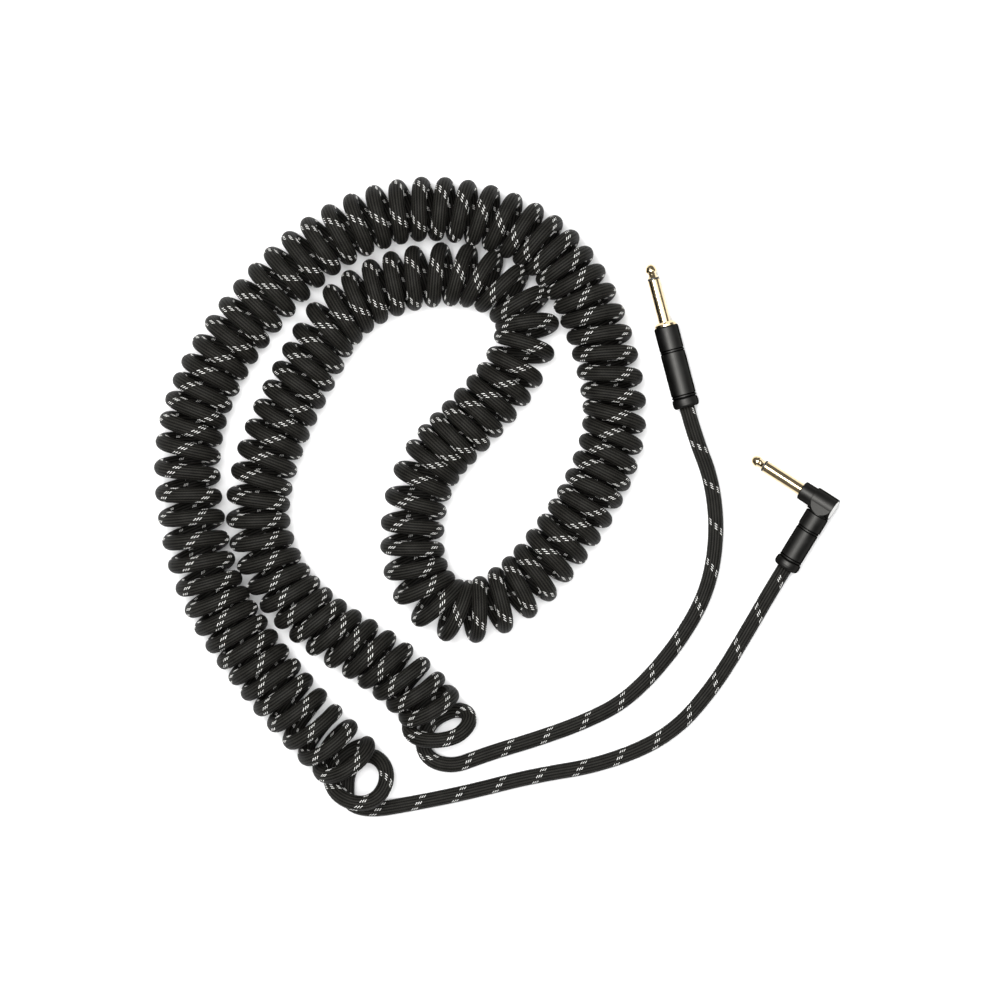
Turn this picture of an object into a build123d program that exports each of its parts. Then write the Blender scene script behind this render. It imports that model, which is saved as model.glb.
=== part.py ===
from build123d import *

import os
from math import cos, pi, radians, sin, tan

# A curly instrument cable with a straight jack plug on one end and a right-angle one on the other.
# Millimetres. +Z is up and the table is at z = 0. The origin is on the table, in the middle of the
# box round the two plugs. Each plug is drawn from its shoulder, where the jack's face would be.

# Where the plugs lie
STRAIGHT_SHOULDER = (-40.6, 50.3, 6.9)
STRAIGHT_HEADING = 104.7  # degrees from +X, the way the straight plug points
ANGLE_ELBOW = (42.2, -44.5, 12.9)  # where the angle plug's two axes cross
ANGLE_HEADING = 147.0  # degrees from +X, the way the angle plug's shaft points
ANGLE_DIP = 12.0  # degrees that its shaft falls towards the tip
ANGLE_ROLL = 9.0  # degrees that its barrel is rolled down about the shaft

# The shaft that goes into a jack, from its shoulder
SHAFT_RADIUS = 3.175
SHAFT_LENGTH = 31.2
SLEEVE_LENGTH = 22.8
RING_LENGTH = 1.0
TIP_LENGTH = SHAFT_LENGTH - SLEEVE_LENGTH - RING_LENGTH
ROD_RADIUS = 1.2
TUBE_RADIUS = 2.0
SPIGOT_RADIUS = 3.0
SLEEVE_END = -4.0
INSULATOR_INSET = 0.05
RIVET_RADIUS = 1.9
RIVET_HEIGHT = 0.8
LUG_PLACE = -6.5
SLIP = 0.02  # gap between a piece and the one that it is pressed into

# The screwed barrels
THREAD_RADIUS = 4.9
THREAD_PITCH = 1.0
THREAD_DEPTH = 0.3
THREAD_GAP = 0.05
THREAD_RELIEF = 0.6
BOSS_BORE = 3.7
COLLAR_RADIUS = 6.4
BEAD_RADIUS = 6.9
BARREL_BORE = 5.6
LINER_RADII = (4.85, 5.3)
LINER_BACK_GAP = 2.3
LINER_FRONT_GAP = 1.0
REAR_WALL = 2.0
REAR_HOLE = 5.0
GROOVE = 0.55  # width of each groove round a barrel
GROOVE_DEPTH = 0.45
END_RING = 1.3  # width of the thin ring at each end of a barrel

# The metal tabs inside, and what is soldered to them
TAB_THICKNESS = 0.5
TAB_WIDTH = 2.6
CLAMP_SLIT = 3.0
ROD_END = LUG_PLACE - TAB_THICKNESS
LUG_TAB = 2.1  # from the axis to the lug's tab
SHIELD_ASIDE = -3.3
SHIELD_RADIUS = 0.7
SOLDER_RADIUS = 0.95

# Straight plug: places along its axis are from its shoulder, minus towards the cable
FLANGE_RADIUS = 5.85
FLANGE_FACE_RADIUS = 4.6
FLANGE_BEVEL = 1.1
FLANGE_END = -2.3
SEAT_RADIUS = 5.0
STRAIGHT_BARREL_RADIUS = 6.5
STRAIGHT_FRONT = -14.6
STRAIGHT_THREAD_END = -22.0
STRAIGHT_BACK = -40.8
STRAIGHT_BEAD = 5.0
STRAIGHT_LUG_LENGTH = 13.5
STRAIGHT_CLAMP = -33.0
STRAIGHT_CLAMP_LENGTH = 5.0
STRAIGHT_CUT = -31.5  # where the jacket is cut off
STRAIGHT_CORE_FRONT = -27.5
STRAIGHT_WIRE = [(0, -27.5), (0, -25.0), (1.6, -22.0), (1.6, -18.0)]  # (aside, along)
STRAIGHT_SHIELD_LENGTH = 6.5
STRAIGHT_LUG_JOINT = (1.6, -19.2)
STRAIGHT_SHIELD_JOINT = (SHIELD_ASIDE, -27.0)

# Angle plug: its shaft is measured from the head's face, its barrel from the elbow
ELBOW_DEPTH = 13.8
NECK_RADIUS = 5.1
NECK_END = -7.3
HEAD_RADIUS = 6.0
HEAD_END = -19.9
DRUM_RADIUS = 5.8
DRUM_HALF = 5.9
CAVITY_RADIUS = 4.4
CAP_RADIUS = 5.3
CAP_HEIGHT = 0.8
CAP_PLUG = 1.2
SOCKET_BORE = 4.3
SOCKET_END = -4.6
ANGLE_COLLAR_FRONT = -6.3
ANGLE_BARREL_RADIUS = 6.2
ANGLE_FRONT = -14.9
ANGLE_THREAD_END = -20.4
ANGLE_BACK = -34.4
ANGLE_BEAD = 4.7
ANGLE_LUG_LENGTH = 8.0
ANGLE_CLAMP = -26.5
ANGLE_CLAMP_LENGTH = 4.5
ANGLE_CUT = -25.0
ANGLE_CORE_FRONT = -9.5
ANGLE_WIRE = [(9.5, -ELBOW_DEPTH), (5.4, -ELBOW_DEPTH), (3.15, -11.6), (3.15, -8.6)]
ANGLE_SHIELD_LENGTH = 3.5
ANGLE_LUG_JOINT = (3.15, -9.6)
ANGLE_SHIELD_JOINT = (SHIELD_ASIDE, -23.0)

# The cord
CORD_RADIUS = 4.0
CORD_HOLE = 4.35
CORE_RADIUS = 1.5
WIRE_RADIUS = 0.45
COIL_RADIUS = 16.4
SECTION_OF_RUN = 0.45  # part of the shorter run that an arc takes up

# Middle line of the coil as it lies, from the angle plug's end to the straight plug's
COIL_ROUTE = [
    (-199, -187),
    (-226, -159),
    (-254, -126),
    (-277, -92),
    (-288, -52),
    (-290, -10),
    (-277, 28),
    (-252, 62),
    (-221, 91),
    (-182, 109),
    (-144, 109),
    (-108, 95),
    (-86, 70),
    (-71, 34),
    (-65, -4),
    (-77, -37),
    (-93, -62),
    (-117, -90),
    (-148, -103),
    (-170, -85),
    (-172, -50),
    (-163, -22),
    (-143, -3),
    (-120, 24),
    (-114, 53),
    (-134, 72),
    (-172, 73),
    (-209, 58),
    (-229, 22),
    (-246, -13),
    (-254, -51),
    (-242, -85),
    (-217, -109),
    (-185, -128),
    (-163, -149),
    (-154, -162),
]

# The plain lengths after their first run, from each plug to just before the coil
STRAIGHT_TAIL_ROUTE = [
    (-17.5, -33, CORD_RADIUS),
    (-14, -62, CORD_RADIUS),
    (-19, -92, CORD_RADIUS),
    (-36, -121, CORD_RADIUS),
    (-60, -147, CORD_RADIUS),
    (-84, -158.5, CORD_RADIUS),
    (-110, -168, CORD_RADIUS),
    (-127, -174, CORD_RADIUS),
]
ANGLE_TAIL_ROUTE = [
    (3, -109, CORD_RADIUS),
    (-15, -139, CORD_RADIUS),
    (-38, -164.5, CORD_RADIUS),
    (-73, -180, CORD_RADIUS),
    (-110, -186, CORD_RADIUS),
    (-145, -195, CORD_RADIUS),
    (-171, -201, CORD_RADIUS),
]
FIRST_RUN = 15.0
LAST_RUN = 16.0


def axis_spot(plane, aside, y):
    """The point at a distance aside from a plug's axis and y along it."""
    return plane.origin + plane.x_dir * aside + plane.y_dir * y


def cross_plane(plane, y):
    """A plane square to a plug's axis that looks along it, towards the cable."""
    return Plane(origin=axis_spot(plane, 0, y), x_dir=plane.x_dir, z_dir=-plane.y_dir)


def axis_plane(origin, along, out):
    """A plane through a turned piece's axis: its X is the radius and its Y runs along the axis."""
    return Plane(origin=origin, x_dir=out, z_dir=out.cross(along))


def turned(plane, outline):
    """Turns a closed outline of (radius, place along the axis, corner rounding)."""
    corners = [(radius, place) for radius, place, _ in outline]
    roundings = [rounding for _, _, rounding in outline]
    with BuildPart() as piece:
        with BuildSketch(plane):
            with BuildLine():
                FilletPolyline(*corners, radius=roundings, close=True)
            make_face()
        revolve(axis=Axis(plane.origin, plane.y_dir))
    return piece


def ring(plane, inner, outer, low, high, rounding=0.0):
    """A plain ring or tube, rounded on its outer edges."""
    return turned(
        plane,
        [(inner, low, 0), (outer, low, rounding), (outer, high, rounding), (inner, high, 0)],
    )


def keep(name, piece):
    piece.part.label = name
    export_step(piece.part, f"parts/{name}.step")


def shaft_tip(plane, rod_end):
    """The tip contact: a bulb with a waist behind it, on a rod that is riveted over at its far end."""
    end = SHAFT_LENGTH
    waist = end - 5.6
    back = end - TIP_LENGTH
    rivet_end = rod_end - RIVET_HEIGHT
    with BuildPart() as tip:
        with BuildSketch(plane):
            with BuildLine():
                Line((0, rivet_end), (RIVET_RADIUS, rivet_end))
                Line((RIVET_RADIUS, rivet_end), (RIVET_RADIUS, rod_end))
                Line((RIVET_RADIUS, rod_end), (ROD_RADIUS, rod_end))
                Line((ROD_RADIUS, rod_end), (ROD_RADIUS, back))
                Line((ROD_RADIUS, back), (2.9, back))
                ThreePointArc((2.9, back), (2.25, waist - 0.75), (1.95, waist))
                ThreePointArc((1.95, waist), (2.2, waist + 0.8), (2.85, waist + 1.5))
                ThreePointArc((2.85, waist + 1.5), (2.95, end - 3.3), (2.7, end - 2.3))
                ThreePointArc((2.7, end - 2.3), (1.95, end - 0.8), (0.8, end))
                Line((0.8, end), (0, end))
                Line((0, end), (0, rivet_end))
            make_face()
        revolve(axis=Axis(plane.origin, plane.y_dir))
    return tip


def tip_insulator(plane, tube_end):
    """The black ring behind the tip and the tube that keeps the rod off the sleeve."""
    ring_back = SLEEVE_LENGTH
    ring_front = ring_back + RING_LENGTH
    return turned(
        plane,
        [
            (ROD_RADIUS + SLIP, tube_end, 0),
            (TUBE_RADIUS - SLIP, tube_end, 0),
            (TUBE_RADIUS - SLIP, ring_back, 0),
            (SHAFT_RADIUS - INSULATOR_INSET, ring_back, 0),
            (SHAFT_RADIUS - INSULATOR_INSET, ring_front, 0.1),
            (ROD_RADIUS + SLIP, ring_front, 0),
        ],
    )


def sleeve(plane, spigot_end):
    """The sleeve contact, with a slimmer spigot that is pressed into the body behind it."""
    return turned(
        plane,
        [
            (TUBE_RADIUS, spigot_end, 0),
            (SPIGOT_RADIUS, spigot_end, 0),
            (SPIGOT_RADIUS, 0, 0),
            (SHAFT_RADIUS, 0, 0),
            (SHAFT_RADIUS, SLEEVE_LENGTH, 0.15),
            (TUBE_RADIUS, SLEEVE_LENGTH, 0),
        ],
    )


def barrel(plane, front, back, radius, thread_end):
    """A screwed barrel: fine grooves set off a thin ring at each end, and the cable leaves at the back."""
    low = radius - GROOVE_DEPTH
    front_ring = front - END_RING
    back_ring = back + END_RING
    return turned(
        plane,
        [
            (THREAD_RADIUS + THREAD_GAP, front, 0),
            (low, front, 0),
            (low, front - GROOVE, 0),
            (radius - 0.1, front - GROOVE, 0.1),
            (radius - 0.1, front_ring, 0.1),
            (low, front_ring, 0),
            (low, front_ring - GROOVE, 0),
            (radius, front_ring - GROOVE, 0.12),
            (radius, back_ring + GROOVE, 0.12),
            (low, back_ring + GROOVE, 0),
            (low, back_ring, 0),
            (radius + 0.1, back_ring, 0.15),
            (radius + 0.1, back + GROOVE, 0.15),
            (low, back + GROOVE, 0),
            (low, back, 0),
            (REAR_HOLE, back, 0),
            (REAR_HOLE, back + REAR_WALL, 0),
            (BARREL_BORE, back + REAR_WALL, 0),
            (BARREL_BORE, thread_end, 0),
            (THREAD_RADIUS + THREAD_GAP, thread_end, 0),
        ],
    )


def end_bead(plane, front, length):
    """The rounded ring behind the barrel, on a spigot that is pressed into the barrel's rear hole."""
    spigot = REAR_HOLE - SLIP
    return turned(
        plane,
        [
            (CORD_HOLE, front - length, 0.3),
            (BEAD_RADIUS - 0.25, front - length, 1.5),
            (BEAD_RADIUS, front - length / 2, 1.2),
            (BEAD_RADIUS - 0.25, front, 0.8),
            (spigot, front, 0),
            (spigot, front + REAR_WALL, 0),
            (CORD_HOLE, front + REAR_WALL, 0),
        ],
    )


def thread_outline(start, end):
    """The root and crest points of a thread drawn as rings, from start down to end."""
    root = THREAD_RADIUS - THREAD_DEPTH
    points = []
    for turn in range(int((start - end) / THREAD_PITCH)):
        top = start - turn * THREAD_PITCH
        points += [
            (root, top, 0),
            (root, top - 0.45 * THREAD_PITCH, 0),
            (THREAD_RADIUS, top - 0.6 * THREAD_PITCH, 0),
            (THREAD_RADIUS, top - 0.9 * THREAD_PITCH, 0),
        ]
    return [*points, (root, end, 0)]


def tip_lug(plane, front, length, height):
    """A ring under the rod's rivet, with a tab that runs back beside the core."""
    ring_plane = cross_plane(plane, front)
    with BuildPart() as lug:
        with BuildSketch(ring_plane):
            Circle(height + TAB_THICKNESS)
            Circle(ROD_RADIUS + SLIP, mode=Mode.SUBTRACT)
        extrude(amount=TAB_THICKNESS)
        with BuildSketch(ring_plane):
            with Locations((height + TAB_THICKNESS / 2, 0)):
                Rectangle(TAB_THICKNESS, TAB_WIDTH)
        extrude(amount=length)
    return lug


def ground_tang(plane, front, clamp_front, clamp_length):
    """A ring staked to the boss, a tab beside the cable, and a split band round its jacket."""
    outer = CORD_RADIUS + SLIP + TAB_THICKNESS
    ring_plane = cross_plane(plane, front)
    clamp_plane = ring_plane.offset(front - clamp_front)
    with BuildPart() as tang:
        with BuildSketch(ring_plane):
            Circle(outer)
            Circle(BOSS_BORE, mode=Mode.SUBTRACT)
        extrude(amount=TAB_THICKNESS)
        with BuildSketch(ring_plane):
            with Locations((TAB_THICKNESS / 2 - outer, 0)):
                Rectangle(TAB_THICKNESS, TAB_WIDTH)
            Circle(outer, mode=Mode.INTERSECT)
        extrude(amount=front - clamp_front + clamp_length)
        with BuildSketch(clamp_plane):
            Circle(outer)
            Circle(CORD_RADIUS + SLIP, mode=Mode.SUBTRACT)
            with Locations((outer, 0)):
                Rectangle(outer, CLAMP_SLIT, mode=Mode.SUBTRACT)
        extrude(amount=clamp_length)
    return tang


def rod_along(plane, radius, start, end, aside=0.0):
    """A straight round rod beside a plug's axis."""
    with BuildPart() as rod:
        with BuildSketch(cross_plane(plane, start)):
            with Locations((aside, 0)):
                Circle(radius)
        extrude(amount=start - end)
    return rod


def swept_tube(points, radii, radius):
    """A round tube along straight runs joined by tangent arcs, its length, and how true its volume is."""
    with BuildPart() as tube:
        with BuildLine() as path:
            FilletPolyline(*points, radius=radii)
        line = path.wire()
        with BuildSketch(Plane(origin=line @ 0, z_dir=line % 0)):
            Circle(radius)
        sweep()
    return tube, line.length, tube.part.volume / (pi * radius**2 * line.length)


def arc_radii(points):
    """The arc at each corner takes up its share of the shorter of the two runs that meet there."""
    corners = [Vector(*point) for point in points]
    radii = []
    for before, corner, after in zip(corners, corners[1:], corners[2:]):
        run_in = corner - before
        run_out = after - corner
        turn = radians(run_in.get_angle(run_out))
        radii.append(SECTION_OF_RUN * min(run_in.length, run_out.length) / tan(turn / 2))
    return radii


def solder_joints(spots, *kept_clear):
    """A drop of solder at each spot, cut back to the pieces that it joins."""
    with BuildPart() as drops:
        with Locations(*spots):
            Sphere(SOLDER_RADIUS)
        for piece in kept_clear:
            add(piece.part, mode=Mode.SUBTRACT)
    return drops


def keep_shaft(plug, plane, rod_end, sleeve_end):
    """The pieces of a shaft, which are the same on both plugs."""
    keep(f"{plug}_tip", shaft_tip(plane, rod_end))
    keep(f"{plug}_tip_insulator", tip_insulator(plane, sleeve_end))
    keep(f"{plug}_sleeve", sleeve(plane, sleeve_end))
    keep(f"{plug}_rear_insulator", ring(plane, ROD_RADIUS + SLIP, BOSS_BORE - SLIP, LUG_PLACE, sleeve_end))


os.makedirs("parts", exist_ok=True)

# The straight plug
straight_turn = radians(STRAIGHT_HEADING)
straight_way = Vector(cos(straight_turn), sin(straight_turn), 0)
straight = axis_plane(Vector(*STRAIGHT_SHOULDER), straight_way, Vector(0, 0, 1))

keep_shaft("straight", straight, ROD_END, SLEEVE_END)
keep(
    "straight_bushing",
    turned(
        straight,
        [
            (SPIGOT_RADIUS + SLIP, 0, 0),
            (FLANGE_FACE_RADIUS, 0, 0.2),
            (FLANGE_RADIUS, -FLANGE_BEVEL, 0.2),
            (FLANGE_RADIUS, FLANGE_END, 0.1),
            (SEAT_RADIUS - SLIP, FLANGE_END, 0),
            (SEAT_RADIUS - SLIP, STRAIGHT_FRONT, 0),
            *thread_outline(STRAIGHT_FRONT, STRAIGHT_THREAD_END),
            (BOSS_BORE, STRAIGHT_THREAD_END, 0),
            (BOSS_BORE, SLEEVE_END, 0),
            (SPIGOT_RADIUS + SLIP, SLEEVE_END, 0),
        ],
    ),
)
keep(
    "straight_collar",
    turned(
        straight,
        [
            (SEAT_RADIUS, FLANGE_END, 0),
            (COLLAR_RADIUS, FLANGE_END, 0.9),
            (COLLAR_RADIUS, STRAIGHT_FRONT, 0.1),
            (SEAT_RADIUS, STRAIGHT_FRONT, 0),
        ],
    ),
)
straight_bore_end = STRAIGHT_THREAD_END - THREAD_RELIEF
keep(
    "straight_barrel",
    barrel(straight, STRAIGHT_FRONT, STRAIGHT_BACK, STRAIGHT_BARREL_RADIUS, straight_bore_end),
)
keep("straight_end_bead", end_bead(straight, STRAIGHT_BACK, STRAIGHT_BEAD))
keep(
    "straight_liner",
    ring(straight, *LINER_RADII, STRAIGHT_BACK + LINER_BACK_GAP, STRAIGHT_THREAD_END - LINER_FRONT_GAP),
)

straight_lug = tip_lug(straight, LUG_PLACE, STRAIGHT_LUG_LENGTH, LUG_TAB)
straight_tang = ground_tang(straight, STRAIGHT_THREAD_END, STRAIGHT_CLAMP, STRAIGHT_CLAMP_LENGTH)
straight_shield_front = STRAIGHT_CUT + STRAIGHT_SHIELD_LENGTH
straight_shield = rod_along(straight, SHIELD_RADIUS, straight_shield_front, STRAIGHT_CUT, SHIELD_ASIDE)
straight_wire_points = [axis_spot(straight, *spot) for spot in STRAIGHT_WIRE]
straight_wire, _, _ = swept_tube(straight_wire_points, arc_radii(straight_wire_points), WIRE_RADIUS)
straight_joints = [axis_spot(straight, *spot) for spot in (STRAIGHT_LUG_JOINT, STRAIGHT_SHIELD_JOINT)]
straight_end = STRAIGHT_BACK - STRAIGHT_BEAD
keep("straight_tip_lug", straight_lug)
keep("straight_ground_tang", straight_tang)
keep("straight_shield_tail", straight_shield)
keep("straight_core_wire", straight_wire)
keep("straight_core_insulation", rod_along(straight, CORE_RADIUS, STRAIGHT_CORE_FRONT, STRAIGHT_CUT))
keep("straight_jacket_end", rod_along(straight, CORD_RADIUS, STRAIGHT_CUT, straight_end))
keep(
    "straight_solder",
    solder_joints(straight_joints, straight_lug, straight_wire, straight_shield, straight_tang),
)

# The angle plug
angle_turn = radians(ANGLE_HEADING)
dip = radians(ANGLE_DIP)
roll = radians(ANGLE_ROLL)
level = Vector(cos(angle_turn), sin(angle_turn), 0)
shaft_way = level * cos(dip) - Vector(0, 0, sin(dip))
level_side = Vector(-sin(angle_turn), cos(angle_turn), 0)
down_side = level * -sin(dip) - Vector(0, 0, cos(dip))
barrel_way = level_side * cos(roll) + down_side * sin(roll)
head_up = level_side * sin(roll) - down_side * cos(roll)
elbow = Vector(*ANGLE_ELBOW)
angle = axis_plane(elbow + shaft_way * ELBOW_DEPTH, shaft_way, barrel_way)
elbow_plane = axis_plane(elbow, -barrel_way, head_up)

keep_shaft("angle", angle, ROD_END, SLEEVE_END)
with BuildPart() as angle_head:
    with BuildSketch(angle):
        with BuildLine():
            FilletPolyline(
                (0, 0),
                (NECK_RADIUS, 0),
                (NECK_RADIUS, NECK_END),
                (HEAD_RADIUS, NECK_END),
                (HEAD_RADIUS, HEAD_END),
                (0, HEAD_END),
                radius=[0, 0.7, 0, 0.3, 0.3, 0],
                close=True,
            )
        make_face()
    revolve(axis=Axis(angle.origin, angle.y_dir))
    # Only the side that the barrel is on is flat above and below
    with BuildSketch(Plane(origin=elbow, x_dir=barrel_way, z_dir=head_up)):
        Circle(DRUM_RADIUS)
        with Locations((-DRUM_RADIUS, 0)):
            Rectangle(2 * DRUM_RADIUS, 2 * DRUM_RADIUS, mode=Mode.SUBTRACT)
    extrude(amount=DRUM_HALF, both=True)
    with BuildSketch(cross_plane(elbow_plane, 0)):
        Circle(SEAT_RADIUS - SLIP)
    extrude(amount=-ANGLE_FRONT)
    with BuildSketch(angle):
        with BuildLine():
            Polyline(
                (0, 0),
                (SPIGOT_RADIUS + SLIP, 0),
                (SPIGOT_RADIUS + SLIP, SLEEVE_END),
                (BOSS_BORE, SLEEVE_END),
                (BOSS_BORE, LUG_PLACE),
                (CAVITY_RADIUS, LUG_PLACE),
                (CAVITY_RADIUS, HEAD_END + CAP_HEIGHT),
                (CAP_RADIUS, HEAD_END + CAP_HEIGHT),
                (CAP_RADIUS, HEAD_END),
                (0, HEAD_END),
                close=True,
            )
        make_face()
    revolve(axis=Axis(angle.origin, angle.y_dir), mode=Mode.SUBTRACT)
    with BuildSketch(cross_plane(elbow_plane, 0)):
        Circle(SOCKET_BORE)
    extrude(amount=-ANGLE_FRONT, mode=Mode.SUBTRACT)
keep("angle_head", angle_head)
keep(
    "angle_end_cap",
    turned(
        angle,
        [
            (0, HEAD_END + CAP_HEIGHT + CAP_PLUG, 0),
            (CAVITY_RADIUS - SLIP, HEAD_END + CAP_HEIGHT + CAP_PLUG, 0),
            (CAVITY_RADIUS - SLIP, HEAD_END + CAP_HEIGHT, 0),
            (CAP_RADIUS - SLIP, HEAD_END + CAP_HEIGHT, 0),
            (CAP_RADIUS - SLIP, HEAD_END, 0.15),
            (0, HEAD_END, 0),
        ],
    ),
)
keep(
    "angle_collar",
    turned(
        elbow_plane,
        [
            (SEAT_RADIUS, ANGLE_COLLAR_FRONT, 0),
            (COLLAR_RADIUS, ANGLE_COLLAR_FRONT, 0.7),
            (COLLAR_RADIUS, ANGLE_FRONT, 0.1),
            (SEAT_RADIUS, ANGLE_FRONT, 0),
        ],
    ),
)
keep(
    "angle_bushing",
    turned(
        elbow_plane,
        [
            (BOSS_BORE, SOCKET_END, 0),
            (SOCKET_BORE - SLIP, SOCKET_END, 0),
            (SOCKET_BORE - SLIP, ANGLE_FRONT, 0),
            *thread_outline(ANGLE_FRONT, ANGLE_THREAD_END),
            (BOSS_BORE, ANGLE_THREAD_END, 0),
        ],
    ),
)
angle_bore_end = ANGLE_THREAD_END - THREAD_RELIEF
keep("angle_barrel", barrel(elbow_plane, ANGLE_FRONT, ANGLE_BACK, ANGLE_BARREL_RADIUS, angle_bore_end))
keep("angle_end_bead", end_bead(elbow_plane, ANGLE_BACK, ANGLE_BEAD))
keep(
    "angle_liner",
    ring(elbow_plane, *LINER_RADII, ANGLE_BACK + LINER_BACK_GAP, ANGLE_THREAD_END - LINER_FRONT_GAP),
)

angle_lug = tip_lug(angle, LUG_PLACE, ANGLE_LUG_LENGTH, LUG_TAB)
angle_tang = ground_tang(elbow_plane, ANGLE_THREAD_END, ANGLE_CLAMP, ANGLE_CLAMP_LENGTH)
angle_shield_front = ANGLE_CUT + ANGLE_SHIELD_LENGTH
angle_shield = rod_along(elbow_plane, SHIELD_RADIUS, angle_shield_front, ANGLE_CUT, SHIELD_ASIDE)
angle_wire_points = [axis_spot(angle, *spot) for spot in ANGLE_WIRE]
angle_wire, _, _ = swept_tube(angle_wire_points, arc_radii(angle_wire_points), WIRE_RADIUS)
angle_joints = [axis_spot(angle, *ANGLE_LUG_JOINT), axis_spot(elbow_plane, *ANGLE_SHIELD_JOINT)]
angle_end = ANGLE_BACK - ANGLE_BEAD
keep("angle_tip_lug", angle_lug)
keep("angle_ground_tang", angle_tang)
keep("angle_shield_tail", angle_shield)
keep("angle_core_wire", angle_wire)
keep("angle_core_insulation", rod_along(elbow_plane, CORE_RADIUS, ANGLE_CORE_FRONT, ANGLE_CUT))
keep("angle_jacket_end", rod_along(elbow_plane, CORD_RADIUS, ANGLE_CUT, angle_end))
keep("angle_solder", solder_joints(angle_joints, angle_lug, angle_wire, angle_shield, angle_tang))

# The cord


def tail_points(plane, end, route, coil_end, coil_before):
    """A tail's route: straight out of its plug, along the table, and up to the low side of a coil's end."""
    leaving = axis_spot(plane, 0, end)
    outward = (Vector(*coil_end) - Vector(*coil_before)).normalized()
    arrival = Vector(*coil_end, CORD_RADIUS)
    return [leaving, leaving - plane.y_dir * FIRST_RUN, *route, arrival + outward * LAST_RUN, arrival]


coil_points = [(x, y, COIL_RADIUS) for x, y in COIL_ROUTE]
straight_points = tail_points(straight, straight_end, STRAIGHT_TAIL_ROUTE, COIL_ROUTE[-1], COIL_ROUTE[-2])
angle_points = tail_points(elbow_plane, angle_end, ANGLE_TAIL_ROUTE, COIL_ROUTE[0], COIL_ROUTE[1])
for name, points, radius in (
    ("straight_tail", straight_points, CORD_RADIUS),
    ("angle_tail", angle_points, CORD_RADIUS),
    ("coil", coil_points, COIL_RADIUS),
):
    radii = arc_radii(points)
    tube, length, ratio = swept_tube(points, radii, radius)
    keep(name, tube)
    print(name, "is", round(length), "mm long, volume over section times length is", round(ratio, 3))
    print("its arcs have radii of", [round(value, 1) for value in radii], "mm")
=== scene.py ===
from math import cos, pi, radians, tan

import bpy
import numpy as np
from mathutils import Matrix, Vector


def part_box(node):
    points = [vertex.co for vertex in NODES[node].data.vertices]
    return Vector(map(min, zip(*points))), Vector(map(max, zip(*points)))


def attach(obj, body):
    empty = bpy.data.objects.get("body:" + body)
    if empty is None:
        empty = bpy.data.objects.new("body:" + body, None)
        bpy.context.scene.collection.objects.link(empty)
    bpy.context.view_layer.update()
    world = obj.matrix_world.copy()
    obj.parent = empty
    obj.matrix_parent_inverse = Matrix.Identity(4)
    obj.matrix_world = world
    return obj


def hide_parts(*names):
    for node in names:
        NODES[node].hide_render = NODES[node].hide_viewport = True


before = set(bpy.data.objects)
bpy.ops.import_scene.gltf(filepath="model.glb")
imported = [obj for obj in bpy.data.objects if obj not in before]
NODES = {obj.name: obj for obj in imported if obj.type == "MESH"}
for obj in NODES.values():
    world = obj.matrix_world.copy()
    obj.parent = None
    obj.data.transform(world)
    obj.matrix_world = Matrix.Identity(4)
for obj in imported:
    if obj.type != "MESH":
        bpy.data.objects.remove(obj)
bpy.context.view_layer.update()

# A curly instrument cable on a pale table, seen from straight above. Metres, in the CAD model's own frame.

# The view
VIEW_MIDDLE = (-0.1265, -0.0424)
VIEW_WIDTH = 0.52
VIEW_LEVEL = 0.0164  # the height at which the view is that wide
CAMERA_HEIGHT = 3.0
SENSOR_WIDTH = 36.0

# The cord and its coil
CORD_RADIUS = 0.004
COIL_RADIUS = 0.0164
WINDING_RADIUS = COIL_RADIUS - CORD_RADIUS  # of the cord's middle line round the coil's
WIDE_RADIUS = 0.0135  # its turns lie wider than they are high, most at the angle plug's end
NARROW_RADIUS = 0.0126
NARROW_FROM = 40  # the turn by which they have narrowed to that
POINTS_PER_TURN = 16
ROUTE_SAMPLES = 64  # points read from the coil's middle line for each of its control points
CORD_SAMPLES = 16  # and from the cord's
FIRST_TURN = 0.25  # where the even winding starts, and how far before the route's end it stops, in turns
LAST_GAP = 1.25
END_SLUMP = 0.008  # how far the turns at the very ends lean out along the route
SLUMP_FADE = 1.6  # turns over which that dies away
FIRST_RUN = 0.015  # how far the cord runs straight on out of a plug

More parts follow.
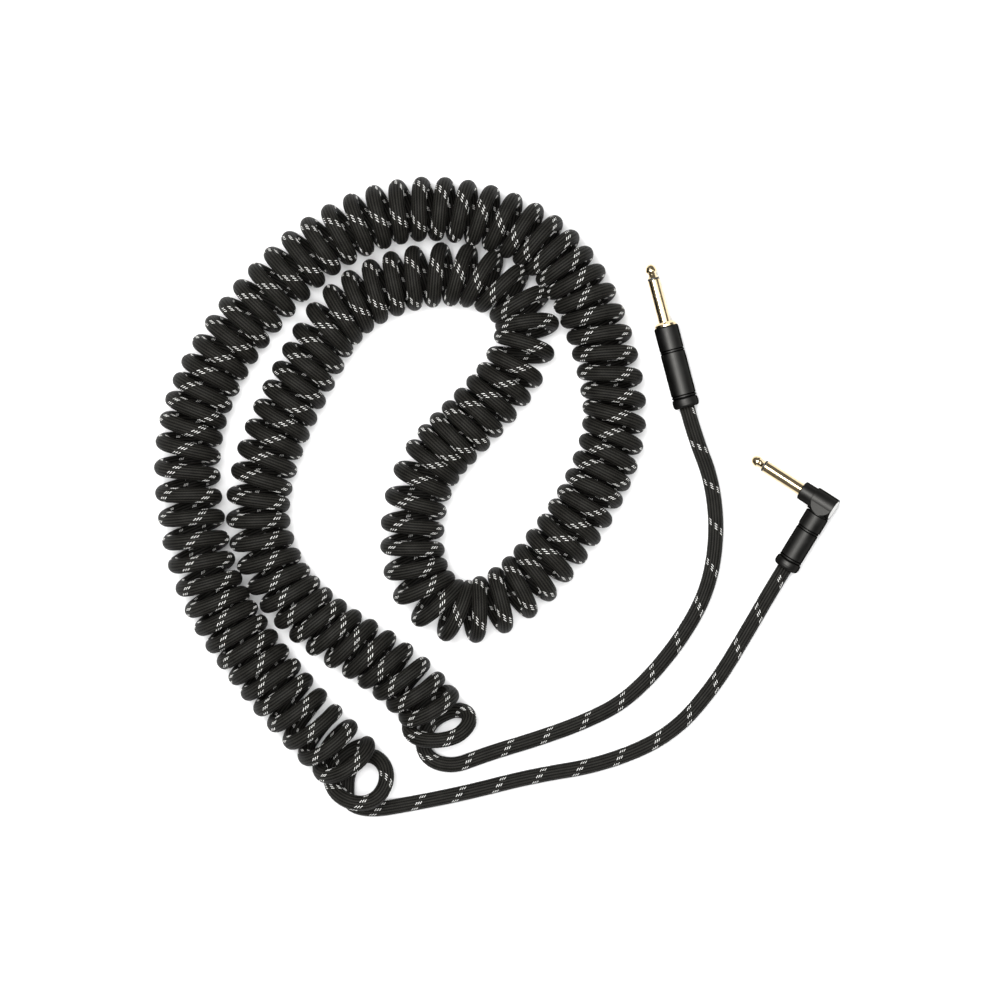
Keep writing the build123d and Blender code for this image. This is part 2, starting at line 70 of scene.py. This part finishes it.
# The coil's middle line, from the angle plug's end to the straight plug's: (x, y, how many
# turns have been wound by there, how far the turns lean there in degrees)
COIL_ROUTE = [
    (-0.203, -0.181, 0.0, 0),
    (-0.226, -0.159, 2.5, -2),
    (-0.254, -0.126, 6.75, -3),
    (-0.277, -0.092, 11.0, -1),
    (-0.288, -0.052, 14.5, -5),
    (-0.290, -0.010, 18.0, 0),
    (-0.276, 0.0275, 22.0, -6),
    (-0.2515, 0.061, 25.75, -4),
    (-0.221, 0.091, 29.5, -8),
    (-0.182, 0.109, 33.25, -5),
    (-0.144, 0.109, 36.75, -5),
    (-0.1075, 0.0955, 40.25, -2),
    (-0.085, 0.0705, 43.75, -4),
    (-0.071, 0.034, 47.5, 4),
    (-0.065, -0.004, 51.0, 9),
    (-0.077, -0.037, 54.5, -8),
    (-0.093, -0.062, 57.5, -4),
    (-0.117, -0.091, 60.75, 5),
    (-0.1485, -0.1045, 63.5, 10),
    (-0.171, -0.0855, 66.0, -2),
    (-0.173, -0.050, 69.0, -8),
    (-0.163, -0.022, 71.5, -4),
    (-0.143, -0.003, 74.75, -8),
    (-0.1185, 0.024, 78.25, -12),
    (-0.109, 0.054, 80.75, -6),
    (-0.133, 0.075, 83.25, 8),
    (-0.172, 0.075, 86.5, -2),
    (-0.209, 0.058, 90.25, 6),
    (-0.229, 0.022, 94.0, 2),
    (-0.246, -0.013, 97.75, -2),
    (-0.255, -0.051, 101.25, -6),
    (-0.243, -0.085, 104.5, 2),
    (-0.218, -0.109, 108.0, 7),
    (-0.185, -0.128, 111.5, 5),
    (-0.163, -0.149, 114.5, 2),
    (-0.154, -0.162, 116.0, 2),
]

# From the straight plug to the coil: the tail, then the loop that the coil's last turn makes
STRAIGHT_TAIL_ROUTE = [
    (-0.0155, -0.0330, 0.0040),
    (-0.0130, -0.0620, 0.0040),
    (-0.0185, -0.0920, 0.0040),
    (-0.0360, -0.1210, 0.0040),
    (-0.0600, -0.1470, 0.0040),
    (-0.0840, -0.1590, 0.0040),
    (-0.1100, -0.1680, 0.0040),
    (-0.1270, -0.1730, 0.0040),
    (-0.1400, -0.1775, 0.0040),
    (-0.1495, -0.1810, 0.0040),
    (-0.1590, -0.1800, 0.0040),
    (-0.1650, -0.1760, 0.0040),
    (-0.1670, -0.1700, 0.0040),
    (-0.1655, -0.1635, 0.0040),
    (-0.1615, -0.1575, 0.0040),
    (-0.1560, -0.1540, 0.0045),
    (-0.1490, -0.1515, 0.0075),
    (-0.1430, -0.1530, 0.0125),
    (-0.1420, -0.1585, 0.0170),
    (-0.1480, -0.1650, 0.0205),
    (-0.1580, -0.1675, 0.0215),
    (-0.1680, -0.1670, 0.0195),
    (-0.1740, -0.1635, 0.0135),
    (-0.1735, -0.1575, 0.0070),
    (-0.1680, -0.1505, 0.0038),
    (-0.1610, -0.1450, 0.0045),
    (-0.1540, -0.1420, 0.0090),
]

# From the coil to the angle plug: the coil's first turn, then the tail
ANGLE_TAIL_ROUTE = [
    (-0.1960, -0.1700, 0.0090),
    (-0.2015, -0.1715, 0.0050),
    (-0.2075, -0.1755, 0.0038),
    (-0.2130, -0.1805, 0.0055),
    (-0.2150, -0.1870, 0.0100),
    (-0.2130, -0.1935, 0.0155),
    (-0.2070, -0.1985, 0.0195),
    (-0.1980, -0.2005, 0.0210),
    (-0.1900, -0.1975, 0.0200),
    (-0.1855, -0.1900, 0.0175),
    (-0.1855, -0.1825, 0.0145),
    (-0.1895, -0.1770, 0.0110),
    (-0.1955, -0.1750, 0.0075),
    (-0.2020, -0.1780, 0.0050),
    (-0.2060, -0.1850, 0.0040),
    (-0.2065, -0.1920, 0.0040),
    (-0.2065, -0.1985, 0.0040),
    (-0.2015, -0.2030, 0.0040),
    (-0.1910, -0.2040, 0.0040),
    (-0.1785, -0.2020, 0.0040),
    (-0.1450, -0.1955, 0.0040),
    (-0.1100, -0.1865, 0.0040),
    (-0.0725, -0.1805, 0.0040),
    (-0.0375, -0.1655, 0.0040),
    (-0.0145, -0.1395, 0.0040),
    (0.0035, -0.1095, 0.0040),
]

# The woven jacket
TUBE_SIDES = 24
RING_SPACING = 0.0025  # between the tube's rings of points
RIB_COLUMNS = 16  # lengthwise columns of crossings round the jacket
YARN_SPACING = 0.0012  # between yarns, along the cord
YARN_ANGLE = 49.0  # degrees between a yarn and the cord's length
TRACER_LEAD = 0.0215  # plain cord length over which the pale yarns go once round
WOUND_LEAD = 0.0189  # and where the cord is wound
TRACER_STRANDS = 3  # pale yarns side by side
PLAIN_ENDS = (0.30, 0.32)  # about how much of each end isn't wound
FLOAT_WIDTH = 0.0018  # how far a pale yarn shows before it goes under, round the jacket
STRAND_WIDTH = 0.00074
STRAND_HEIGHT = 0.00012
# the furrows' colour is painted shade, far darker than the yarn where shade falls between columns
FURROW_SHADE_BLACK = (0.0014, 0.0013, 0.0011)
YARN_BLACK = (0.0230, 0.0222, 0.0194)
RIB_BUMP = 0.0002
FUZZ_BUMP = 0.00004
YARN_WHITE = ((0.70, 0.69, 0.65), (0.95, 0.95, 0.93))
PALE_FUZZ_BUMP = 0.00003

# The plugs' black plating
PLATING_BLACK = ((0.026, 0.0256, 0.0244), (0.037, 0.0364, 0.0347))
PLATING_ROUGHNESS = (0.42, 0.5)
EDGE_TINT = (0.2, 0.2, 0.2, 1.0)  # of what it reflects at a glancing angle
GRAIN_BUMP = 0.000006
TURNING_BUMP = 0.000004

# The barrels' grooves, coloured near-black as painted shade in their recesses
GROOVE_PLACES = (0.00028, 0.00158)  # from each end of a barrel to the middles of its grooves
GROOVE_REACH = 0.0003
GROOVE_SHADE_BLACK = (0.002, 0.002, 0.0019)

# Turned metals: the darker and lighter colour, the least and most roughness, and the lathe marks' size
TURNED_METALS = {
    "gold": ((0.56, 0.44, 0.26), (0.70, 0.57, 0.37), (0.14, 0.2), 0.0003),
    "brass": ((0.62, 0.45, 0.20), (0.80, 0.60, 0.30), (0.25, 0.38), 0.0002),
    "cap": ((0.30, 0.30, 0.285), (0.40, 0.40, 0.385), (0.18, 0.3), 0.0003),
}
LATHE_BUMP = 0.000002

# Plain finishes: the darker and lighter colour, the patches' size, the least and most roughness, the grain's
# depth, and how metallic it is
PLAIN_FINISHES = {
    "insulator": ((0.010, 0.010, 0.010), (0.02, 0.02, 0.02), 0.002, (0.35, 0.5), 0.00001, 0.0),
    "card": ((0.05, 0.045, 0.04), (0.09, 0.08, 0.07), 0.001, (0.6, 0.8), 0.00001, 0.0),
    "copper": ((0.70, 0.30, 0.16), (0.90, 0.45, 0.28), 0.0008, (0.3, 0.45), 0.00001, 1.0),
    "core": ((0.60, 0.58, 0.54), (0.75, 0.73, 0.69), 0.002, (0.4, 0.55), 0.00001, 0.0),
    "solder": ((0.45, 0.45, 0.47), (0.70, 0.70, 0.72), 0.0007, (0.2, 0.4), 0.00001, 1.0),
    "jacket_end": ((0.008, 0.0076, 0.007), (0.03, 0.028, 0.026), 0.0006, (0.6, 0.8), 0.00004, 0.0),
}

# The finish of each piece of a plug. The straight plug's bushing is gold, since its flange shows.
PIECE_FINISHES = {
    "tip": "gold",
    "sleeve": "gold",
    "tip_insulator": "insulator",
    "rear_insulator": "insulator",
    "bushing": "brass",
    "collar": "satin_black",
    "barrel": "groove_shaded_black",
    "end_bead": "satin_black",
    "head": "satin_black",
    "end_cap": "cap",
    "liner": "card",
    "tip_lug": "brass",
    "ground_tang": "brass",
    "shield_tail": "copper",
    "core_wire": "copper",
    "core_insulation": "core",
    "jacket_end": "jacket_end",
    "solder": "solder",
}

# The studio. Each light: its place from the view's middle, its width and height, and its power in watts
LIGHTS = {
    "key": ((-0.7, 0.5, 2.2), (0.9, 1.2), 30),
    "fill": ((1.1, 0.2, 1.8), (0.5, 1.4), 8),
    "top": ((-0.15, 0.0, 2.6), (1.7, 1.4), 93),
}
WORLD_LIGHT = 0.18
FLOOR_HALF = 8.0
FLOOR_LEVEL = -0.0002
FLOOR_WHITE = ((0.90, 0.90, 0.90), (0.92, 0.92, 0.92))


def put_in_scene(name, data):
    thing = bpy.data.objects.new(name, data)
    bpy.context.scene.collection.objects.link(thing)
    return thing


def make_camera():
    data = bpy.data.cameras.new("camera")
    data.sensor_width = SENSOR_WIDTH
    data.lens = SENSOR_WIDTH * (CAMERA_HEIGHT - VIEW_LEVEL) / VIEW_WIDTH
    data.clip_start = 0.1
    data.clip_end = 100.0
    camera = put_in_scene("camera", data)
    camera.location = (*VIEW_MIDDLE, CAMERA_HEIGHT)
    bpy.context.scene.camera = camera


# The cord's line


def nurbs_line(points, samples_per_point):
    """Points along a smooth line with those control points, evenly spaced in the line's own parameter."""
    curve = bpy.data.curves.new("line", "CURVE")
    curve.dimensions = "3D"
    curve.resolution_u = samples_per_point
    spline = curve.splines.new("NURBS")
    spline.points.add(len(points) - 1)
    for control, point in zip(spline.points, points):
        control.co = (*point, 1.0)
    spline.order_u = 3
    spline.use_endpoint_u = True
    spline.resolution_u = samples_per_point
    holder = put_in_scene("line", curve)
    mesh = bpy.data.meshes.new_from_object(holder)
    line = np.zeros(len(mesh.vertices) * 3)
    mesh.vertices.foreach_get("co", line)
    bpy.data.objects.remove(holder)
    bpy.data.curves.remove(curve)
    bpy.data.meshes.remove(mesh)
    return line.reshape(-1, 3)


def unit(vectors):
    return vectors / np.linalg.norm(vectors, axis=-1, keepdims=True)


def at_places(values, known, wanted):
    """Each column of values, known at some places, read at others."""
    return np.stack([np.interp(wanted, known, column) for column in values.T], axis=-1)


def coil_points():
    """The winding's control points, from the straight plug's end to the angle plug's. It is left-handed."""
    x, y, counted, leans = np.array(COIL_ROUTE).T
    route = nurbs_line([(*place, COIL_RADIUS) for place in zip(x, y)], ROUTE_SAMPLES)
    # The line passes each corner halfway through a span, and starts and ends on a corner
    spans = len(COIL_ROUTE) - 2
    corners = np.clip(np.arange(len(COIL_ROUTE)) - 0.5, 0, spans)
    route_turns = np.interp(np.linspace(0, spans, len(route)), corners, counted)
    total = counted[-1]
    first_step = round(FIRST_TURN * POINTS_PER_TURN)
    last_step = round((total - LAST_GAP) * POINTS_PER_TURN)
    turns = np.arange(last_step, first_step - 1, -1) / POINTS_PER_TURN
    middle = at_places(route, route_turns, turns)
    ahead = unit(at_places(np.gradient(route, axis=0), route_turns, turns))
    left = np.stack([-ahead[:, 1], ahead[:, 0], 0 * turns], axis=-1)
    lean = np.radians(np.interp(turns, counted, leans))[:, None]
    sideways = left * np.cos(lean) + ahead * np.sin(lean)
    # A spline of this order runs a little inside its control points
    outside = 2 / (1 + cos(2 * pi / POINTS_PER_TURN))
    wide = np.interp(turns, [0, NARROW_FROM], [WIDE_RADIUS, NARROW_RADIUS])[:, None] * outside
    high = WINDING_RADIUS * outside
    swing = 2 * pi * turns[:, None]
    slump = END_SLUMP * (np.exp((turns - total) / SLUMP_FADE) - np.exp(-turns / SLUMP_FADE))[:, None]
    up = np.array([0.0, 0.0, 1.0])
    return middle - sideways * wide * np.sin(swing) - (up * high + ahead * slump) * np.cos(swing)


def rod_end(node, towards):
    """The middle of a straight rod's end on the side of a point, and the way that the rod runs there."""
    points = np.array([v.co for v in NODES[node].data.vertices], float)
    middle = points.mean(axis=0)
    way = np.linalg.svd(points - middle, full_matrices=False)[2][0]
    if way @ (np.array(towards) - middle) < 0:
        way = -way
    return middle + way * ((points - middle) @ way).max(), way


def cord_points(straight_end, straight_way, angle_end, angle_way):
    """Every control point of the cord, from the back of the straight plug to the back of the angle plug."""
    return [
        straight_end,
        straight_end + straight_way * FIRST_RUN,
        *STRAIGHT_TAIL_ROUTE,
        *coil_points(),
        *ANGLE_TAIL_ROUTE,
        angle_end + angle_way * FIRST_RUN,
        angle_end,
    ]


def evenly_spaced(line, spacing):
    """The same line with its points a set distance apart, and how far along each one is."""
    along = np.concatenate([[0.0], np.cumsum(np.linalg.norm(np.diff(line, axis=0), axis=1))])
    wanted = np.linspace(0, along[-1], round(along[-1] / spacing) + 1)
    return at_places(line, along, wanted), wanted


def carried_frames(path):
    """Two directions across the cord at each point, which don't twist about it."""
    ahead = unit(np.gradient(path, axis=0))
    up = np.array([0.0, 0.0, 1.0])
    first = up - ahead[0] * (up @ ahead[0])
    across = [first / np.linalg.norm(first)]
    for way in ahead[1:]:
        moved = across[-1] - way * (across[-1] @ way)
        across.append(moved / np.linalg.norm(moved))
    across = np.array(across)
    return across, np.cross(ahead, across)


def mesh_piece(name, points, faces, smooth=True):
    mesh = bpy.data.meshes.new(name)
    mesh.from_pydata(points.tolist(), [], faces)
    mesh.polygons.foreach_set("use_smooth", [smooth] * len(mesh.polygons))
    mesh.update()
    return put_in_scene(name, mesh)


def make_cord(path, along, across, beside):
    """The jacket: a closed tube whose points know their place round the cord and along it."""
    count = len(path)
    angle = np.linspace(0, 2 * pi, TUBE_SIDES, endpoint=False)
    ring = across[:, None] * np.cos(angle)[:, None] + beside[:, None] * np.sin(angle)[:, None]
    points = (path[:, None] + ring * CORD_RADIUS).reshape(-1, 3)
    faces = [list(range(TUBE_SIDES))[::-1]]
    last_ring = (count - 1) * TUBE_SIDES
    for start in range(0, last_ring, TUBE_SIDES):
        onward = start + TUBE_SIDES
        for side in range(TUBE_SIDES):
            after = (side + 1) % TUBE_SIDES
            faces.append([start + side, start + after, onward + after, onward + side])
    faces.append(list(range(last_ring, last_ring + TUBE_SIDES)))
    cord = mesh_piece("cord", points, faces)
    place = np.zeros((count, TUBE_SIDES, 3), np.float32)
    place[..., 0] = np.cos(angle)
    place[..., 1] = np.sin(angle)
    place[..., 2] = along[:, None]
    attribute = cord.data.attributes.new("weave", "FLOAT_VECTOR", "POINT")
    attribute.data.foreach_set("vector", place.ravel())
    return cord


def make_tracer(path, along, across, beside):
    """The pale yarns: short slanted strands where they come over the jacket, in every other column."""
    floats_round = RIB_COLUMNS // 2
    ends = [0, PLAIN_ENDS[0], along[-1] - PLAIN_ENDS[1], along[-1]]
    rounds = np.cumsum([0, *np.diff(ends) / (TRACER_LEAD, WOUND_LEAD, TRACER_LEAD)])
    numbers = np.arange(1, round(rounds[-1] * floats_round) - 1)
    starts = np.interp(numbers / floats_round, rounds, ends)[:, None, None]
    lanes = (np.arange(TRACER_STRANDS) - (TRACER_STRANDS - 1) / 2) * YARN_SPACING
    slant = 1 / tan(radians(YARN_ANGLE))
    # One strand's corners: (share of its half length, share of its half width, over or under the jacket)
    strand = [
        (-1.0, 0.0, -1.0),
        (-0.55, -1.0, -1.0),
        (-0.55, 0.0, 1.0),
        (-0.55, 1.0, -1.0),
        (0.55, -1.0, -1.0),
        (0.55, 0.0, 1.0),
        (0.55, 1.0, -1.0),
        (1.0, 0.0, -1.0),
    ]
    strand_faces = [
        (0, 2, 1),
        (0, 3, 2),
        (1, 2, 5, 4),
        (2, 3, 6, 5),
        (4, 5, 7),
        (5, 6, 7),
        (0, 1, 4, 7, 6, 3),
    ]
    share = np.array(strand)
    round_cord = -share[:, 0] * FLOAT_WIDTH / 2
    along_cord = share[:, 0] * FLOAT_WIDTH / 2 * slant + share[:, 1] * STRAND_WIDTH / 2
    rise = share[:, 2] * STRAND_HEIGHT
    place = (starts + lanes[:, None] + along_cord).ravel()
    turn = -2 * pi * numbers[:, None, None] / floats_round + round_cord / CORD_RADIUS + 0 * lanes[:, None]
    turn = turn.ravel()[:, None]
    upward = unit(at_places(across, along, place))
    aside = unit(at_places(beside, along, place))
    out = upward * np.cos(turn) + aside * np.sin(turn)
    reach = CORD_RADIUS + np.tile(rise, len(place) // len(rise))
    points = at_places(path, along, place) + out * reach[:, None]
    faces = [
        [start + corner for corner in face]
        for start in range(0, len(points), len(strand))
        for face in strand_faces
    ]
    return mesh_piece("tracer_yarn", points, faces)


# Materials


class Finish:
    """A procedural material: a Principled shader and short ways to feed it."""

    def __init__(self, name, **sockets):
        self.material = bpy.data.materials.new(name)
        self.material.use_nodes = True
        self.tree = self.material.node_tree
        self.shader = self.tree.nodes["Principled BSDF"]
        for socket, value in sockets.items():
            self.shader.inputs[socket.replace("_", " ")].default_value = value

    def feed(self, node_input, value):
        if isinstance(value, bpy.types.NodeSocket):
            self.tree.links.new(value, node_input)
        else:
            node_input.default_value = value

    def calc(self, operation, *values):
        node = self.tree.nodes.new("ShaderNodeMath")
        node.operation = operation
        for node_input, value in zip(node.inputs, values):
            self.feed(node_input, value)
        return node.outputs[0]

    def position(self):
        return self.tree.nodes.new("ShaderNodeTexCoord").outputs["Object"]

    def along(self, way):
        """How far a point lies along a direction, in metres."""
        node = self.tree.nodes.new("ShaderNodeVectorMath")
        node.operation = "DOT_PRODUCT"
        self.feed(node.inputs[0], self.position())
        node.inputs[1].default_value = way
        return node.outputs["Value"]

    def noise(self, size, detail=2.0, vector=None, dimensions="3D"):
        """Noise with features of about that size in metres."""
        node = self.tree.nodes.new("ShaderNodeTexNoise")
        node.noise_dimensions = dimensions
        node.inputs["Scale"].default_value = 1 / size
        node.inputs["Detail"].default_value = detail
        if dimensions == "1D":
            self.feed(node.inputs["W"], vector)
        else:
            self.feed(node.inputs["Vector"], vector or self.position())
        return node.outputs["Fac"]

    def spread(self, value, low, high, start=0.0, end=1.0):
        """A value between start and end, as one between low and high."""
        node = self.tree.nodes.new("ShaderNodeMapRange")
        self.feed(node.inputs["Value"], value)
        for socket, number in zip(("From Min", "From Max", "To Min", "To Max"), (start, end, low, high)):
            node.inputs[socket].default_value = number
        return node.outputs["Result"]

    def blend(self, factor, dark, light):
        node = self.tree.nodes.new("ShaderNodeMix")
        node.data_type = "RGBA"
        self.feed(node.inputs["Factor"], factor)
        self.feed(node.inputs[6], (*dark, 1.0) if isinstance(dark, tuple) else dark)
        self.feed(node.inputs[7], (*light, 1.0) if isinstance(light, tuple) else light)
        return node.outputs[2]

    def colour(self, value):
        self.feed(self.shader.inputs["Base Color"], value)

    def roughness(self, value):
        self.feed(self.shader.inputs["Roughness"], value)

    def bump(self, height, depth):
        node = self.tree.nodes.new("ShaderNodeBump")
        node.inputs["Strength"].default_value = 1.0
        node.inputs["Distance"].default_value = depth
        self.feed(node.inputs["Height"], height)
        if self.shader.inputs["Normal"].is_linked:
            self.feed(node.inputs["Normal"], self.shader.inputs["Normal"].links[0].from_socket)
        self.feed(self.shader.inputs["Normal"], node.outputs["Normal"])


def woven_jacket():
    """Near-black yarns in a herringbone of lengthwise columns, with painted shade darkening the furrows
    between the columns and the gaps between yarns.
    """
    finish = Finish("woven_jacket", Specular_IOR_Level=0.05)
    tree = finish.tree
    attribute = tree.nodes.new("ShaderNodeAttribute")
    attribute.attribute_name = "weave"
    parts = tree.nodes.new("ShaderNodeSeparateXYZ")
    finish.feed(parts.inputs[0], attribute.outputs["Vector"])
    angle = finish.calc("ARCTAN2", parts.outputs[1], parts.outputs[0])
    columns = finish.calc("MULTIPLY", angle, RIB_COLUMNS / (2 * pi))
    number = finish.calc("ROUND", columns)
    aside = finish.calc("SUBTRACT", columns, number)
    odd = finish.calc("FLOORED_MODULO", number, 2.0)
    way = finish.calc("MULTIPLY_ADD", odd, -2.0, 1.0)
    column_rise = 2 * pi * CORD_RADIUS / RIB_COLUMNS / tan(radians(YARN_ANGLE))
    rise = finish.calc("MULTIPLY", finish.calc("MULTIPLY", aside, way), column_rise)
    phase = finish.calc("MULTIPLY", finish.calc("ADD", parts.outputs[2], rise), 2 * pi / YARN_SPACING)
    yarns = finish.calc("MULTIPLY_ADD", finish.calc("SINE", phase), 0.5, 0.5)
    ridge = finish.calc("POWER", finish.calc("COSINE", finish.calc("MULTIPLY", aside, pi)), 1.2)
    fuzz = finish.noise(0.0005, 3.0)
    streaks = finish.noise(0.004, 2.0)
    # painted shade: the colour darkens from the ridge tops into the furrows and between yarns, plus random
    # fuzz and streak tone
    shade = finish.calc("MULTIPLY", ridge, finish.spread(yarns, 0.66, 1.0))
    shade = finish.calc("MULTIPLY_ADD", finish.calc("SUBTRACT", fuzz, 0.5), 0.7, shade)
    shade = finish.calc("MULTIPLY_ADD", finish.calc("SUBTRACT", streaks, 0.5), 0.5, shade)
    finish.colour(finish.blend(finish.spread(shade, 0.0, 1.0, 0.1, 1.0), FURROW_SHADE_BLACK, YARN_BLACK))
    finish.roughness(finish.spread(fuzz, 0.42, 0.6))
    finish.bump(finish.calc("MULTIPLY_ADD", yarns, 0.3, ridge), RIB_BUMP)
    finish.bump(fuzz, FUZZ_BUMP)
    return finish.material


def pale_yarn():
    finish = Finish("pale_yarn", Sheen_Weight=0.3, Sheen_Roughness=0.4)
    fuzz = finish.noise(0.0004, 3.0)
    finish.colour(finish.blend(fuzz, *YARN_WHITE))
    finish.roughness(finish.spread(fuzz, 0.5, 0.75))
    finish.bump(fuzz, PALE_FUZZ_BUMP)
    return finish.material


def turned_metal(name, way, dark, light, roughness, lathe):
    """Metal turned on a lathe: fine rings square to its axis, and a little unevenness in its polish."""
    finish = Finish(name, Metallic=1.0)
    rings = finish.noise(lathe, 1.0, finish.along(way), "1D")
    patches = finish.noise(0.003, 3.0)
    finish.colour(finish.blend(patches, dark, light))
    finish.roughness(finish.spread(patches, *roughness, 0.3, 0.7))
    finish.bump(rings, LATHE_BUMP)
    return finish.material


def satin_black(name, way, ends=()):
    """Black plating with a soft gleam and a fine blasted grain, with painted shade in the grooves near a
    barrel's ends.
    """
    finish = Finish(name, Metallic=1.0, Specular_Tint=EDGE_TINT)
    grain = finish.noise(0.00025, 2.0)
    patches = finish.noise(0.005, 3.0)
    rings = finish.noise(0.0002, 1.0, finish.along(way), "1D")
    colour = finish.blend(patches, *PLATING_BLACK)
    for end, inward in zip(ends, (1, -1)):
        for place in GROOVE_PLACES:
            # painted shade: each groove's band is coloured near-black where shade falls in the recess
            inside = finish.calc("COMPARE", finish.along(way), end + inward * place, GROOVE_REACH)
            colour = finish.blend(inside, colour, GROOVE_SHADE_BLACK)
    finish.colour(colour)
    finish.roughness(finish.spread(patches, *PLATING_ROUGHNESS, 0.3, 0.7))
    finish.bump(grain, GRAIN_BUMP)
    finish.bump(rings, TURNING_BUMP)
    return finish.material


def plain_finish(name, dark, light, size, roughness, grain, metallic):
    """A finish for the pieces inside the plugs, with fine grain and uneven colour."""
    finish = Finish(name, Metallic=metallic)
    patches = finish.noise(size, 3.0)
    finish.colour(finish.blend(patches, dark, light))
    finish.roughness(finish.spread(patches, *roughness, 0.3, 0.7))
    finish.bump(finish.noise(size / 6, 2.0), grain)
    return finish.material


def finish_plug(plug, shaft_way, barrel_way):
    """Gives every piece of a plug the finish of the real one."""
    reach = [v.co.dot(Vector(barrel_way)) for v in NODES[f"{plug}_barrel"].data.vertices]
    finishes = {
        "satin_black": satin_black(f"{plug}_satin_black", barrel_way),
        "groove_shaded_black": satin_black(f"{plug}_groove_shaded_black", barrel_way, (min(reach), max(reach))),
    }
    for name, values in TURNED_METALS.items():
        finishes[name] = turned_metal(f"{plug}_{name}", shaft_way if name == "gold" else barrel_way, *values)
    for name, values in PLAIN_FINISHES.items():
        finishes[name] = plain_finish(f"{plug}_{name}", *values)
    for part, name in PIECE_FINISHES.items():
        piece = NODES.get(f"{plug}_{part}")
        if part == "bushing" and plug == "straight":
            name = "gold"
        if piece is not None:
            for slot in piece.material_slots:
                slot.material = finishes[name]


# The studio


def make_floor():
    corners = [(-1, -1), (1, -1), (1, 1), (-1, 1)]
    points = np.array([(x * FLOOR_HALF, y * FLOOR_HALF, FLOOR_LEVEL) for x, y in corners])
    floor = mesh_piece("floor", points, [[0, 1, 2, 3]], smooth=False)
    finish = Finish("floor_paper", Specular_IOR_Level=0.1)
    finish.colour(finish.blend(finish.noise(0.02, 2.0), *FLOOR_WHITE))
    finish.roughness(finish.spread(finish.noise(0.01, 2.0), 0.85, 0.95))
    floor.data.materials.append(finish.material)


def soft_light(name, place, target, size, power):
    data = bpy.data.lights.new(name, "AREA")
    data.shape = "RECTANGLE"
    data.size, data.size_y = size
    data.energy = power
    light = put_in_scene(name, data)
    light.location = place
    light.rotation_euler = (Vector(target) - Vector(place)).to_track_quat("-Z", "Y").to_euler()
    light.visible_camera = False


def make_lights():
    x, y = VIEW_MIDDLE
    for name, ((right, up, height), size, power) in LIGHTS.items():
        soft_light(name, (x + right, y + up, height), (x, y, 0.0), size, power)
    world = bpy.data.worlds.new("studio")
    world.use_nodes = True
    background = world.node_tree.nodes["Background"]
    background.inputs["Color"].default_value = (1.0, 1.0, 1.0, 1.0)
    background.inputs["Strength"].default_value = WORLD_LIGHT
    bpy.context.scene.world = world
    bpy.context.scene.view_settings.view_transform = "Standard"


make_camera()

straight_end, straight_way = rod_end("straight_jacket_end", STRAIGHT_TAIL_ROUTE[0])
angle_end, angle_way = rod_end("angle_jacket_end", ANGLE_TAIL_ROUTE[-1])
control = cord_points(straight_end, straight_way, angle_end, angle_way)
path, along = evenly_spaced(nurbs_line(control, CORD_SAMPLES), RING_SPACING)
across, beside = carried_frames(path)

cord = make_cord(path, along, across, beside)
cord.data.materials.append(woven_jacket())
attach(cord, "root")
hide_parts("coil", "straight_tail", "angle_tail")

tracer = make_tracer(path, along, across, beside)
tracer.data.materials.append(pale_yarn())
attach(tracer, "root")

finish_plug("straight", -straight_way, straight_way)
shaft_middle = sum(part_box("angle_sleeve"), Vector()) / 2
head_middle = sum(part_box("angle_head"), Vector()) / 2
finish_plug("angle", np.array((shaft_middle - head_middle).normalized()), angle_way)

make_floor()
make_lights()
